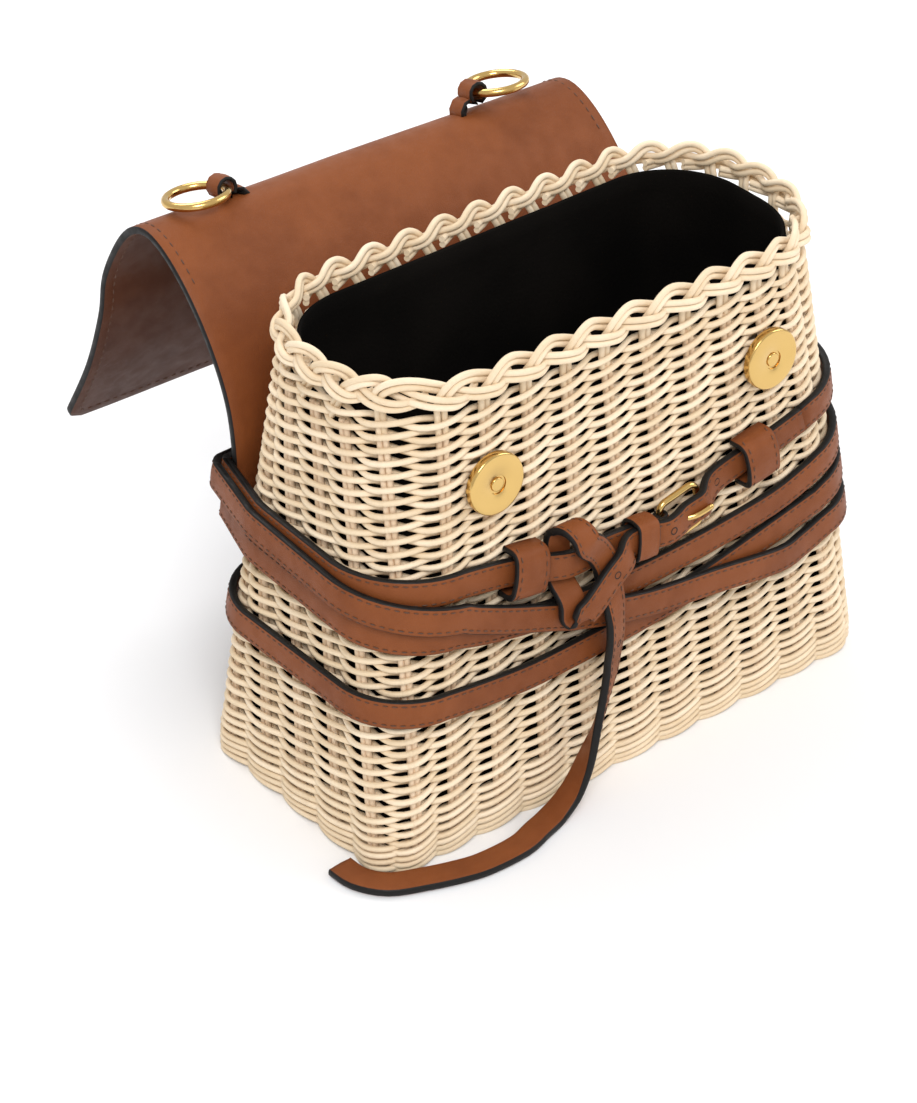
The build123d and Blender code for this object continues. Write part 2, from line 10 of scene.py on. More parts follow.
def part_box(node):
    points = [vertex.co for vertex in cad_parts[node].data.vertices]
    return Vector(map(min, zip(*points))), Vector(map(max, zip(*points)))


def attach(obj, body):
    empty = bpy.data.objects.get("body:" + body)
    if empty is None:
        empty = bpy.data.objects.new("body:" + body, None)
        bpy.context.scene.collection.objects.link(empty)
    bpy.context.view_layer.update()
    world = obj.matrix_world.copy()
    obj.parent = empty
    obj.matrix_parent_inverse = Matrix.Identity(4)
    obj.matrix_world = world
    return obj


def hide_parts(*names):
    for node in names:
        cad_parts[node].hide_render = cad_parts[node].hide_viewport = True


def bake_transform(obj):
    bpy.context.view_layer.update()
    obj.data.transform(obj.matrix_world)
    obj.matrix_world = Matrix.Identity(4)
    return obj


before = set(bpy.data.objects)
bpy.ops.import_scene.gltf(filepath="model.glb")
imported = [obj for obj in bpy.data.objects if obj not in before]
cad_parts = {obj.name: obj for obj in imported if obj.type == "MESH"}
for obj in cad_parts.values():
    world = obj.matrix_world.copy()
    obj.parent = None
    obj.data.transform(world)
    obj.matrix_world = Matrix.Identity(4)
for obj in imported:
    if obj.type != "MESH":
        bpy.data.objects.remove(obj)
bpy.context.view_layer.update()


# Photographed view: camera, soft studio light and a plain pale floor
camera = bpy.data.objects.new("camera", bpy.data.cameras.new("camera"))
bpy.context.scene.collection.objects.link(camera)
camera.location = (-0.65502, -0.76417, 0.76036)
aim = Vector((-0.041916, -0.006132, 0.080)) - camera.location
camera.rotation_euler = aim.to_track_quat("-Z", "Y").to_euler()
camera.data.sensor_fit = "HORIZONTAL"
camera.data.sensor_width = 36.0
camera.data.lens = 140.44
camera.data.dof.use_dof = False
camera.data.clip_end = 50.0
bpy.context.scene.camera = camera


class Value:
    """A shader socket that adds, multiplies and mixes like a number."""

    def __init__(self, tree, socket):
        self.tree, self.socket = tree, socket

    def maths(self, operation, *others, clamp=False):
        step = self.tree.nodes.new("ShaderNodeMath")
        step.operation = operation
        step.use_clamp = clamp
        for place, item in enumerate((self,) + others):
            if isinstance(item, Value):
                self.tree.links.new(item.socket, step.inputs[place])
            else:
                step.inputs[place].default_value = item
        return Value(self.tree, step.outputs[0])

    def __add__(self, other):
        return self.maths("ADD", other)

    def __sub__(self, other):
        return self.maths("SUBTRACT", other)

    def __mul__(self, other):
        return self.maths("MULTIPLY", other)

    def ramp(self, low, high, first=0.0, last=1.0):
        """Smooth change from first to last as the value goes from low to high."""
        step = self.tree.nodes.new("ShaderNodeMapRange")
        step.interpolation_type = "SMOOTHSTEP"
        self.tree.links.new(self.socket, step.inputs["Value"])
        step.inputs["From Min"].default_value = low
        step.inputs["From Max"].default_value = high
        step.inputs["To Min"].default_value = first
        step.inputs["To Max"].default_value = last
        return Value(self.tree, step.outputs["Result"])


class Shader:
    """A material with one Principled surface, filled in by named inputs."""

    def __init__(self, name):
        self.material = bpy.data.materials.new(name)
        self.material.use_nodes = True
        self.tree = self.material.node_tree
        self.surface = self.tree.nodes["Principled BSDF"]

    def node(self, kind, output, inputs=(), **settings):
        """New node; returns one of its outputs."""
        made = self.tree.nodes.new(kind)
        for key, setting in settings.items():
            setattr(made, key, setting)
        for key, value in dict(inputs).items():
            if isinstance(value, Value):
                self.tree.links.new(value.socket, made.inputs[key])
            else:
                made.inputs[key].default_value = value
        return Value(self.tree, made.outputs[output])

    def mix(self, share, first, last):
        """Colour between two colours or colour values."""
        return self.node("ShaderNodeMix", 2, {0: share, 6: first, 7: last}, data_type="RGBA")

    def noise(self, where, scale, detail=3.0, roughness=0.5):
        return self.node("ShaderNodeTexNoise", 0, {"Vector": where, "Scale": scale, "Detail": detail,
                                                   "Roughness": roughness})

    def bump(self, height, distance, strength=1.0):
        self.put("Normal", self.node("ShaderNodeBump", 0, {"Height": height, "Distance": distance,
                                                           "Strength": strength}))

    def put(self, name, value):
        if isinstance(value, Value):
            self.tree.links.new(value.socket, self.surface.inputs[name])
        else:
            self.surface.inputs[name].default_value = value


def rgb(red, green, blue):
    return (red, green, blue, 1.0)


floor_shader = Shader("studio floor")
floor_shader.put("Base Color", rgb(0.86, 0.86, 0.87))
floor_shader.put("Roughness", 0.75)
floor_mesh = bpy.data.meshes.new("floor")
floor_half, floor_drop = 6.0, 0.0002
floor_corners = [(x * floor_half, y * floor_half, -floor_drop)
                 for x, y in ((-1, -1), (1, -1), (1, 1), (-1, 1))]
floor_mesh.from_pydata(floor_corners, [], [(0, 1, 2, 3)])
floor = bpy.data.objects.new("floor", floor_mesh)
floor_mesh.materials.append(floor_shader.material)
bpy.context.scene.collection.objects.link(floor)

world = bpy.data.worlds.new("studio")
bpy.context.scene.world = world
world.use_nodes = True
world.node_tree.nodes["Background"].inputs["Color"].default_value = rgb(1.0, 1.0, 1.0)
world.node_tree.nodes["Background"].inputs["Strength"].default_value = 0.75


def soft_light(name, place, target, size, power):
    lamp = bpy.data.lights.new(name, "AREA")
    lamp.shape = "DISK"
    lamp.size = size
    lamp.energy = power
    holder = bpy.data.objects.new(name, lamp)
    holder.location = place
    holder.rotation_euler = (Vector(target) - Vector(place)).to_track_quat("-Z", "Y").to_euler()
    bpy.context.scene.collection.objects.link(holder)


soft_light("key", (-0.9, -1.2, 1.8), (0, 0, 0.08), 1.0, 27)
soft_light("side", (1.6, -0.6, 1.2), (0, 0, 0.08), 1.2, 12)
soft_light("back", (0.2, 1.4, 1.7), (0, 0, 0.1), 1.2, 16)
bpy.context.scene.view_settings.view_transform = "Standard"


# Twined wall: thirty-nine rows of two reed strands, each row a long twist that passes in front
# of and behind thirty-two pairs of upright stakes. The basket is a tapered box with rounded
# corners, narrower at the rim, and the stakes fan with it.
base_length, base_depth, base_corner = 220.0, 105.0, 14.0
rim_length, rim_depth, rim_corner = 192.0, 84.0, 36.0
rim_height = 168.0


def footprint(z, outward=0.0):
    """Half length and half depth of the straight sides' ends, and the corner radius."""
    share = z / rim_height
    length = base_length + (rim_length - base_length) * share
    depth = base_depth + (rim_depth - base_depth) * share
    corner = base_corner + (rim_corner - base_corner) * share
    return length / 2 - corner, depth / 2 - corner, corner + outward


def round_point(along, z, outward=0.0):
    """Point on the outline, from the middle of the front and positive to the right."""
    half_x, half_y, corner = footprint(z)
    quarter = pi / 2 * corner
    total = 4 * (half_x + half_y + quarter)
    left = along % total
    runs = [half_x, quarter, 2 * half_y, quarter, 2 * half_x, quarter, 2 * half_y, quarter, half_x + 1]
    starts = [Vector((0, -half_y)), Vector((half_x, -half_y)), Vector((half_x, -half_y)),
              Vector((half_x, half_y)), Vector((half_x, half_y)), Vector((-half_x, half_y)),
              Vector((-half_x, half_y)), Vector((-half_x, -half_y)), Vector((-half_x, -half_y))]
    for leg, run in enumerate(runs):
        if left <= run or leg == 8:
            break
        left -= run
    turned = leg / 2 if leg % 2 == 0 else (leg - 1) / 2 + left / corner / (pi / 2)
    angle = -pi / 2 + turned * pi / 2
    out = Vector((cos(angle), sin(angle)))
    ahead = Vector((-sin(angle), cos(angle)))
    flat = starts[leg] + out * (corner + outward)
    if leg % 2 == 0:
        flat += ahead * left
    return Vector((flat.x, flat.y, z))


def outline_length(z):
    half_x, half_y, corner = footprint(z)
    return 4 * (half_x + half_y + pi / 2 * corner)


# Places of the front's stakes along the outline, at a high and a low level; the rest are even.
high_level, low_level = 157.0, 23.0
stakes_high = [-96.1, -75.3, -58.6, -41.5, -25.0, -8.6, 8.6, 26.0, 42.5, 57.5, 72.1]
stakes_low = [-94.0, -78.0, -59.0, -39.0, -20.0, 2.0, 19.5, 39.0, 57.5, 75.5, 92.0]
stake_count = 32
for row, level in ((stakes_high, high_level), (stakes_low, low_level)):
    spare = outline_length(level) - row[-1] + row[0]
    others = stake_count - len(row) + 1
    row += [row[-1] + spare * (step + 1) / others for step in range(others - 1)]


def stake_place(number, z):
    """Where a stake crosses a height, along the outline; whole numbers are stakes."""
    laps, number = divmod(number, stake_count)
    index = int(number)
    part = number - index
    fan = (high_level - z) / (high_level - low_level)
    at = [high + (low - high) * fan for high, low in zip(stakes_high, stakes_low)]
    at.append(at[0] + outline_length(z))
    return at[index] + (at[index + 1] - at[index]) * part + laps * outline_length(z)


def polylines(name, paths, radii, cyclic=False):
    """Curve object with one straight-sided spline a path, in millimetres."""
    curve = bpy.data.curves.new(name, "CURVE")
    curve.dimensions = "3D"
    for path, radius in zip(paths, radii):
        spline = curve.splines.new("POLY")
        spline.points.add(len(path) - 1)
        spline.use_cyclic_u = cyclic
        for point, place in zip(spline.points, path):
            point.co = (place[0] / 1000, place[1] / 1000, place[2] / 1000, 1.0)
            point.radius = radius
    holder = bpy.data.objects.new(name, curve)
    bpy.context.scene.collection.objects.link(holder)
    return holder


class Nodes:
    """Geometry nodes of one recipe; each call adds a node and links it."""

    def __init__(self, name, inputs):
        self.tree = bpy.data.node_groups.new(name, "GeometryNodeTree")
        side = self.tree.interface
        side.new_socket("Geometry", in_out="INPUT", socket_type="NodeSocketGeometry")
        side.new_socket("Geometry", in_out="OUTPUT", socket_type="NodeSocketGeometry")
        for key, kind in inputs.items():
            side.new_socket(key, in_out="INPUT", socket_type=kind)
        self.source = self.tree.nodes.new("NodeGroupInput")
        self.sink = self.tree.nodes.new("NodeGroupOutput")

    def given(self, key):
        return self.source.outputs[key]

    def add(self, kind, output, inputs=(), **settings):
        made = self.tree.nodes.new(kind)
        for key, setting in settings.items():
            setattr(made, key, setting)
        for key, value in dict(inputs).items():
            if isinstance(value, bpy.types.NodeSocket):
                self.tree.links.new(value, made.inputs[key])
            else:
                made.inputs[key].default_value = value
        return made.outputs[output]

    def finish(self, geometry):
        self.tree.links.new(geometry, self.sink.inputs[0])
        return self.tree


def run_recipe(holder, tree, values):
    """Mesh object from a curve and a recipe; the curve is used up."""
    modifier = holder.modifiers.new("recipe", "NODES")
    modifier.node_group = tree
    for item in tree.interface.items_tree:
        if item.in_out == "INPUT" and item.name in values:
            modifier[item.identifier] = values[item.name]
    graph = bpy.context.evaluated_depsgraph_get()
    mesh = bpy.data.meshes.new_from_object(holder.evaluated_get(graph))
    made = bpy.data.objects.new(holder.name, mesh)
    mesh.name = holder.name
    bpy.context.scene.collection.objects.link(made)
    bpy.data.objects.remove(holder)
    return made


recipe = Nodes("round strands", {"Sides": "NodeSocketInt", "Seed": "NodeSocketInt",
                                 "Material": "NodeSocketMaterial"})
run_length = recipe.add("GeometryNodeSplineParameter", "Length")
stored = recipe.add("GeometryNodeStoreNamedAttribute", 0,
                    {"Geometry": recipe.given("Geometry"), "Name": "along", "Value": run_length},
                    data_type="FLOAT", domain="POINT")
which = recipe.add("GeometryNodeInputIndex", 0)
tone = recipe.add("FunctionNodeRandomValue", 1, {"ID": which, "Seed": recipe.given("Seed")},
                  data_type="FLOAT")
stored = recipe.add("GeometryNodeStoreNamedAttribute", 0,
                    {"Geometry": stored, "Name": "tone", "Value": tone}, data_type="FLOAT", domain="CURVE")
girth = recipe.add("GeometryNodeInputRadius", 0)
circle = recipe.add("GeometryNodeCurvePrimitiveCircle", 0,
                    {"Resolution": recipe.given("Sides"), "Radius": 0.001})
tube = recipe.add("GeometryNodeCurveToMesh", 0,
                  {"Curve": stored, "Profile Curve": circle, "Scale": girth, "Fill Caps": True})
tube = recipe.add("GeometryNodeSetShadeSmooth", 0, {"Geometry": tube})
tube = recipe.add("GeometryNodeRealizeInstances", 0, {"Geometry": tube})
tube = recipe.add("GeometryNodeSetMaterial", 0, {"Geometry": tube, "Material": recipe.given("Material")})
strand_recipe = recipe.finish(tube)


def strands(name, paths, radii, material, sides=6, cyclic=False, seed=3):
    """Round strands along paths."""
    holder = polylines(name, paths, radii, cyclic)
    return run_recipe(holder, strand_recipe, {"Sides": sides, "Seed": seed, "Material": material})


def reed_shader(name, light, dark, streaks):
    """Peeled reed: pale straw, tinted strand by strand, with fine fibres along each strand."""
    shader = Shader(name)
    where = shader.node("ShaderNodeTexCoord", "Object")
    along = shader.node("ShaderNodeAttribute", "Fac", attribute_name="along")
    tint = shader.node("ShaderNodeAttribute", "Fac", attribute_name="tone")
    stretched = shader.node("ShaderNodeCombineXYZ", 0, {"X": along * 26.0, "Y": tint * 90.0, "Z": 0.0})
    patches = shader.noise(stretched, 2.2, 4.0)
    fibres = shader.noise(where, streaks, 4.0, 0.65)
    spots = shader.noise(where, 95.0, 2.0)
    share = (patches * 0.85 + tint * 0.35 + fibres * 0.3).ramp(0.38, 1.1)
    colour = shader.mix(share, light, dark)
    colour = shader.mix(spots.ramp(0.62, 0.8, 0.0, 0.3), colour, rgb(0.50, 0.33, 0.17))
    shader.put("Base Color", colour)
    shader.put("Roughness", fibres.ramp(0.3, 0.7, 0.52, 0.72))
    shader.put("Specular IOR Level", 0.3)
    shader.bump(fibres * 0.6 + patches * 0.4, 0.0006, 0.5)
    return shader.material


reed = reed_shader("peeled reed", rgb(0.86, 0.715, 0.53), rgb(0.72, 0.56, 0.37), 900.0)
stake_reed = reed_shader("stake reed", rgb(0.84, 0.67, 0.49), rgb(0.69, 0.51, 0.34), 900.0)

weave_middle = -3.1
strand_radius = 1.06
stake_radius = 1.12
row_swing = 2.05
most_rise = 1.12
foot_tuck, foot_level = 0.8, 7.0
steps_a_stake = 8
row_heights = [1.4]
while row_heights[-1] < 157.0:
    here = row_heights[-1]
    row_heights.append(here + (2.5 if here < 8.5 else 3.4 if here < 19 else 4.4))


def twined_row(row, z, phase):
    """One of a row's two strands, all the way round: in front of one stake pair, behind the next."""
    row_above, row_below = min(row + 1, len(row_heights) - 1), max(row - 1, 0)
    rise = min(most_rise, (row_heights[row_above] - row_heights[row_below]) / 4)
    tuck = foot_tuck * max(0.0, 1 - z / foot_level)
    path = []
    for step in range(stake_count * steps_a_stake):
        number = step / steps_a_stake
        angle = (number + phase) * pi
        swing = cos(angle)
        depth = row_swing * (abs(swing) ** 0.8) * (1 if swing > 0 else -1)
        place = stake_place(number, z)
        wobble = noise.noise(Vector((place * 0.03, row * 1.7, phase * 5.0)))
        lift = rise * sin(angle)
        outward = weave_middle - tuck + depth + 0.15 * wobble
        path.append(round_point(place, z + lift + 0.3 * wobble, outward))
    return path


middle_row = len(row_heights) // 2
weave_halves = (("woven_rows_low", 0, middle_row), ("woven_rows_high", middle_row, len(row_heights)))
for name, first_row, end_row in weave_halves:
    weave_paths, weave_radii = [], []
    for row in range(first_row, end_row):
        for phase in (0, 1):
            weave_paths.append(twined_row(row, row_heights[row], phase))
            weave_radii.append(strand_radius * (1 + 0.05 * noise.noise(Vector((row * 3.1, phase, 0.5)))))
    weave = strands(name, weave_paths, weave_radii, reed, 6, True)
    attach(weave, "basket")
    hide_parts("basket_wall")

stake_foot, stake_top, stake_steps = 1.0, 156.5, 23
stake_paths, stake_radii = [], []
for number in range(stake_count):
    for side in (-stake_radius, stake_radius):
        path = []
        for step in range(stake_steps + 1):
            z = stake_foot + (stake_top - stake_foot) * step / stake_steps
            sway = 0.2 * noise.noise(Vector((number * 2.3, side, z * 0.04)))
            path.append(round_point(stake_place(number, z) + side + sway, z, weave_middle))
        stake_paths.append(path)
        stake_radii.append(stake_radius)
stakes = strands("stakes", stake_paths, stake_radii, stake_reed, 6, False, 8)
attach(stakes, "basket")


# Braided border: above the last row each stake pair goes up behind two bent-over pairs, comes
# forward, arches over to the right and behind the next pair, then runs down in front of the
# one after it and is tucked in beside the third.
def smooth_line(points, steps):
    """Smooth run through points."""
    line = []
    for index in range(len(points) - 1):
        p0, p1 = points[max(index - 1, 0)], points[index]
        p2, p3 = points[index + 1], points[min(index + 2, len(points) - 1)]
        for step in range(steps):
            t = step / steps
            line.append((p1 * 2 + (p2 - p0) * t + (p0 * 2 - p1 * 5 + p2 * 4 - p3) * t * t
                         + (p1 * 3 - p0 - p2 * 3 + p3) * t ** 3) * 0.5)
    return line + [points[-1]]


border_z = 165.0
# Way of one pair: share of the stakes' pitch, outward place and height
border_way = [(0.0, -3.1, 155.6), (0.0, -3.1, 160.0), (0.0, -2.9, 164.0), (0.01, -2.0, 167.2),
              (0.04, -0.6, 169.6), (0.12, 0.3, 171.9), (0.27, 0.1, 173.7), (0.46, -0.9, 174.2),
              (0.66, -2.1, 173.5), (0.85, -3.0, 172.2), (1.04, -3.2, 170.9), (1.24, -2.3, 169.9),
              (1.46, -0.7, 169.3), (1.7, 0.7, 168.7), (1.95, 1.2, 168.0), (2.17, 0.7, 167.3),
              (2.34, -0.6, 167.1), (2.5, -2.3, 167.5), (2.66, -4.0, 168.2)]
upright_points = 4
twin_spread = stake_radius * 0.98
border_paths, border_radii = [], []
for number in range(stake_count):
    pitch = stake_place(number + 1, border_z) - stake_place(number, border_z)
    way = []
    for index, (share, out, z) in enumerate(border_way):
        jog = 0.3 * noise.noise(Vector((number * 1.9, index * 0.35, 2.0)))
        way.append(Vector((share * pitch, out, z + jog * (index >= upright_points))))
    middle = smooth_line(way, 4)
    for twin in (-1, 1):
        path = []
        for index, point in enumerate(middle):
            ahead = middle[min(index + 1, len(middle) - 1)] - middle[max(index - 1, 0)]
            run = hypot(ahead.x, ahead.z)
            spread = twin * twin_spread
            share = (point.x + ahead.z / run * spread) / pitch
            z = point.z - ahead.x / run * spread
            path.append(round_point(stake_place(number + share, border_z), z, point.y))
        border_paths.append(path)
        border_radii.append(stake_radius)
border = strands("braided_border", border_paths, border_radii, reed, 8, False, 5)
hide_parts("rim_braid")
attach(border, "basket")


def mesh_piece(name, verts, faces, materials, indices=None):
    """Smooth-shaded mesh object from points in millimetres."""
    mesh = bpy.data.meshes.new(name)
    mesh.from_pydata([(x / 1000, y / 1000, z / 1000) for x, y, z in verts], [], faces)
    for material in materials:
        mesh.materials.append(material)
    if indices:
        mesh.polygons.foreach_set("material_index", indices)
    mesh.polygons.foreach_set("use_smooth", [True] * len(mesh.polygons))
    mesh.update()
    made = bpy.data.objects.new(name, mesh)
    bpy.context.scene.collection.objects.link(made)
    return made


# Lining: near-black suede bag glued inside the weave, with a bound top edge and one upright
# seam near the back right corner.
suede_shader = Shader("black suede")
nap_place = suede_shader.node("ShaderNodeTexCoord", "Object")
nap = suede_shader.noise(nap_place, 700.0, 4.0, 0.7)
brushed = suede_shader.noise(nap_place, 24.0, 3.0)
suede_shader.put("Base Color", suede_shader.mix(brushed.ramp(0.3, 0.75), rgb(0.0035, 0.0030, 0.0026),
                                                rgb(0.0075, 0.0062, 0.0052)))
suede_shader.put("Roughness", 0.95)
suede_shader.put("Specular IOR Level", 0.05)
suede_shader.bump(nap, 0.0004, 0.7)
suede = suede_shader.material

lining_levels = [(167.2, -6.4), (167.8, -7.0), (167.0, -7.8), (160.0, -7.9), (120.0, -7.9), (80.0, -7.9),
                 (40.0, -7.9), (9.5, -7.9), (8.0, -9.5)]
lining_round = 144
verts, faces = [], []
seam_at = 0.435
for z, out in lining_levels:
    for step in range(lining_round):
        share = step / lining_round
        ridge = 0.55 * max(0.0, 1 - abs(share - seam_at) * lining_round / 0.9)
        soft = 0.35 * noise.noise(Vector((share * 9, z * 0.02, 4.0)))
        verts.append(round_point(share * outline_length(z), z, out - ridge - max(0.0, soft) * (z < 160)))
for level in range(len(lining_levels) - 1):
    for step in range(lining_round):
        after = (step + 1) % lining_round
        low = level * lining_round
        faces.append((low + step, low + lining_round + step, low + lining_round + after, low + after))
faces.append([(len(lining_levels) - 1) * lining_round + step for step in range(lining_round)])
outer_start = len(verts)
for z, out in ((167.2, -6.4), (6.0, -6.4)):
    for step in range(lining_round):
        verts.append(round_point(step / lining_round * outline_length(z), z, out))
for step in range(lining_round):
    after = (step + 1) % lining_round
    faces.append((outer_start + step, outer_start + after, outer_start + lining_round + after,
                  outer_start + lining_round + step))
faces.append([outer_start + lining_round + step for step in reversed(range(lining_round))])
lining = mesh_piece("suede_lining", verts, faces, [suede])
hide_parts("lining")
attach(lining, "basket")


# Leather: smooth cognac cowhide cut in bands and sheets, edges painted black, sewn with
# dark thread near every edge.
def leather_shader(name, light, dark):
    shader = Shader(name)
    where = shader.node("ShaderNodeTexCoord", "Object")
    cloud = shader.noise(where, 28.0, 4.0)
    mottle = shader.noise(where, 160.0, 3.0)
    pores = shader.node("ShaderNodeTexVoronoi", 0, {"Vector": where, "Scale": 1500.0},
                        feature="DISTANCE_TO_EDGE")
    shader.put("Base Color", shader.mix((cloud * 0.75 + mottle * 0.35).ramp(0.35, 0.8), light, dark))
    shader.put("Roughness", mottle.ramp(0.25, 0.75, 0.42, 0.56))
    shader.put("Specular IOR Level", 0.2)
    shader.bump(pores.ramp(0.0, 0.12) * 0.5 + mottle * 0.9, 0.00025, 0.45)
    return shader.material


leather = leather_shader("cognac leather", rgb(0.225, 0.064, 0.017), rgb(0.165, 0.044, 0.011))
# Inner face of the flap: the same cognac leather in a darker copy, which is painted shade for the side
# turned away from the lights.
inner_leather_painted_shade = leather_shader("inner leather painted shade", rgb(0.088, 0.025, 0.008), rgb(0.062, 0.017, 0.006))
paint_shader = Shader("black edge paint")
paint_place = paint_shader.node("ShaderNodeTexCoord", "Object")
paint_grain = paint_shader.noise(paint_place, 300.0, 3.0)
paint_colour = paint_shader.mix(paint_grain, rgb(0.006, 0.005, 0.005), rgb(0.013, 0.012, 0.011))
paint_shader.put("Base Color", paint_colour)
paint_shader.put("Roughness", paint_grain.ramp(0.3, 0.7, 0.38, 0.6))
paint_shader.put("Specular IOR Level", 0.2)
paint_shader.bump(paint_grain, 0.0003, 0.5)
edge_paint = paint_shader.material
thread_shader = Shader("dark thread")
thread_place = thread_shader.node("ShaderNodeTexCoord", "Object")
thread_grain = thread_shader.noise(thread_place, 1400.0, 2.0)
thread_colour = thread_shader.mix(thread_grain, rgb(0.060, 0.022, 0.010), rgb(0.11, 0.045, 0.02))
thread_shader.put("Base Color", thread_colour)
thread_shader.put("Roughness", 0.6)
thread_shader.bump(thread_grain, 0.0003, 0.5)
thread = thread_shader.material

recipe = Nodes("stitches", {"Pitch": "NodeSocketFloat", "Stitch": "NodeSocketVector",
                            "Seed": "NodeSocketInt", "Material": "NodeSocketMaterial"})
spaced = recipe.add("GeometryNodeResampleCurve", 0,
                    {"Curve": recipe.given("Geometry"), "Length": recipe.given("Pitch")}, mode="LENGTH")
heading = recipe.add("GeometryNodeInputTangent", 0)
turned = recipe.add("FunctionNodeAlignRotationToVector", 0, {"Vector": heading}, axis="X")
bead = recipe.add("GeometryNodeMeshUVSphere", 0, {"Segments": 6, "Rings": 4, "Radius": 1.0})
bead = recipe.add("GeometryNodeSetShadeSmooth", 0, {"Geometry": bead})
vary = recipe.add("FunctionNodeRandomValue", 1, {"Min": 0.88, "Max": 1.08, "Seed": recipe.given("Seed")},
                  data_type="FLOAT")
sized = recipe.add("ShaderNodeVectorMath", 0, {0: recipe.given("Stitch"), "Scale": vary}, operation="SCALE")
rows = recipe.add("GeometryNodeInstanceOnPoints", 0,
                  {"Points": spaced, "Instance": bead, "Rotation": turned, "Scale": sized})
rows = recipe.add("GeometryNodeRealizeInstances", 0, {"Geometry": rows})
rows = recipe.add("GeometryNodeSetMaterial", 0, {"Geometry": rows, "Material": recipe.given("Material")})
stitch_recipe = recipe.finish(rows)


def stitches(name, seams, pitch=3.1, length=2.1, width=0.55, seed=2):
    """Thread showing as short stitches along seam lines."""
    holder = polylines(name, seams, [1.0] * len(seams))
    return run_recipe(holder, stitch_recipe, {"Pitch": pitch / 1000, "Seed": seed, "Material": thread,
                                              "Stitch": (length / 2000, width / 2000, width / 2000)})


def squared(run, closed=False):
    """(place, along, facing, sideways) at every (place, facing) of a run."""
    rows = []
    count = len(run)
    for index, (place, facing) in enumerate(run):
        before = run[(index - 1) % count if closed else max(index - 1, 0)][0]
        after = run[(index + 1) % count if closed else min(index + 1, count - 1)][0]
        along = (after - before).normalized()
        face = (facing - along * facing.dot(along)).normalized()
        rows.append((place, along, face, face.cross(along)))
    return rows


def band(name, rows, width, thickness, closed=False, groove=1.6):
    """Leather band with painted edges and a slightly padded face between its stitch lines."""
    half, deep = width / 2, thickness / 2
    side = [(half, 0.0), (half - 0.12, deep * 0.62), (half - 0.5, deep * 0.97), (half - groove, deep - 0.14),
            (half - groove - 0.9, deep), (0.0, deep + 0.12)]
    across = side + [(-w, d) for w, d in reversed(side[:-1])]
    across += [(-w, -d) for w, d in side[1:]] + [(w, -d) for w, d in reversed(side[1:-1])]
    count = len(across)
    verts, faces, indices = [], [], []
    for place, along, face, sideways in rows:
        verts += [place + sideways * w + face * d for w, d in across]
    for row in range(len(rows) - (0 if closed else 1)):
        low, high = row * count, (row + 1) % len(rows) * count
        for step in range(count):
            after = (step + 1) % count
            faces.append((low + step, low + after, high + after, high + step))
            indices.append(1 if step % (count // 2) in (0, 1, 8, 9) else 0)
    if not closed:
        faces.append(list(reversed(range(count))))
        faces.append([(len(rows) - 1) * count + step for step in range(count)])
        indices += [1, 1]
    return mesh_piece(name, verts, faces, [leather, edge_paint], indices)


def edge_seams(rows, width, thickness, inset=1.6):
    """Seam lines near both edges of a band, sunk a little in its face."""
    lines = []
    for side in (-1, 1):
        lines.append([place + sideways * side * (width / 2 - inset) + face * (thickness / 2 - 0.05)
                      for place, along, face, sideways in rows])
    return lines


def smooth(points, steps):
    """Smooth run through (place, facing) way points."""
    places = smooth_line([place for place, facing in points], steps)
    facings = [before[1].lerp(after[1], step / steps)
               for before, after in zip(points, points[1:]) for step in range(steps)]
    return list(zip(places, facings + [points[-1][1]]))


# Belt: one leather strap 10 mm wide, wound four times round the basket, buckled in front,
# knotted round itself and left hanging down to the floor.
strap_width, strap_thickness = 10.0, 2.8
strap_gap, layer_step = 1.8, 3.2
outer_gap = strap_gap + layer_step
side_lean = (base_depth - rim_depth) / 2 / rim_height
lean_angle = atan2(base_depth - rim_depth, 2 * rim_height)
front_out = Vector((0, -cos(lean_angle), sin(lean_angle)))
front_up = Vector((0, sin(lean_angle), cos(lean_angle)))
flap_middle, flap_half, flap_thick = -3.0, 91.0, 2.8
heel_x, heel_z, heel_out = 8.5, 92.2, 3.8
bar_x, bar_z, bar_out = 24.3, 95.4, 3.9


def on_front(x, z, outward, facing=(0, 0, 1)):
    """Strap's middle and facing in front: along X, up the wall, and outward from it."""
    place = Vector((x, -(base_depth / 2 - side_lean * z), z)) + front_out * outward
    return place, Vector((facing[0], 0, 0)) + front_up * facing[1] + front_out * facing[2]


def front_fold(x_first, x_last, z, outward, radius, first, last, steps):
    """Way points of a fold about a line along the front; angles from facing out, by way of down."""
    points = []
    for step in range(steps + 1):
        share = step / steps
        angle = radians(first + (last - first) * share)
        facing = (0, -sin(angle), cos(angle))
        points.append((x_first + (x_last - x_first) * share, z + radius * facing[1],
                       outward + radius * facing[2], facing))
    return points


def hull_point(corner, share, z, over_flap):
    """Taut strap's inner line at a corner: point and outward normal, a share of the way round."""
    half_x, half_y, radius = footprint(z)
    sign_x = -1 if corner in (0, 1) else 1
    sign_y = -1 if corner in (0, 3) else 1
    angle = radians(-90 - 90 * (corner + share))
    out = Vector((cos(angle), sin(angle), 0))
    place = Vector((sign_x * half_x, sign_y * half_y, z)) + out * radius
    if over_flap and sign_y > 0:
        edge = Vector((flap_middle + sign_x * (flap_half + 0.15),
                       base_depth / 2 - side_lean * z + 0.4 + flap_thick + 0.15, z))
        if edge.dot(out) > place.dot(out):
            place = edge
    swell = (rim_corner - base_corner) / rim_height
    taper = (base_length - rim_length) / 2 / rim_height
    lean = (taper + swell) * abs(out.x) + (side_lean + swell) * abs(out.y) - swell
    return place, Vector((out.x, out.y, lean)).normalized()


